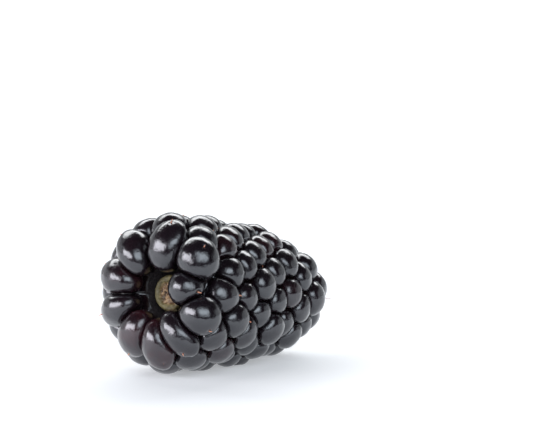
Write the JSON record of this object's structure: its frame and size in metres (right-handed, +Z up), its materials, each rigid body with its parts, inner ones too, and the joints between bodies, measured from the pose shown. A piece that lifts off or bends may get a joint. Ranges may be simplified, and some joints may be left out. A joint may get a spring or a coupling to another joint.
{
  "type": "bramble berry",
  "caption": "Ripe bramble berry lying on its side: pressed round drupelets in rings about a pale plug, whose scar shows in the hollow at the stem end.",
  "frame": {"origin": "centre of the berry's bounding box in plan, on the surface the berry lies on", "axes": "+X from the stem end to the tip, +Z up; the berry's own axis dips 7 degrees towards the tip and bends a little to -Y"},
  "size_m": [0.0362, 0.0224, 0.0225],
  "materials": {
    "drupelet_skin": "thin waxy fruit skin, glossy, near black with a wine tint",
    "receptacle_pith": "dull olive plant pith with a torn brown scar"
  },
  "bodies": {
    "root": {"drupelets": "drupelet_skin", "receptacle": "receptacle_pith"}
  },
  "joints": []
}
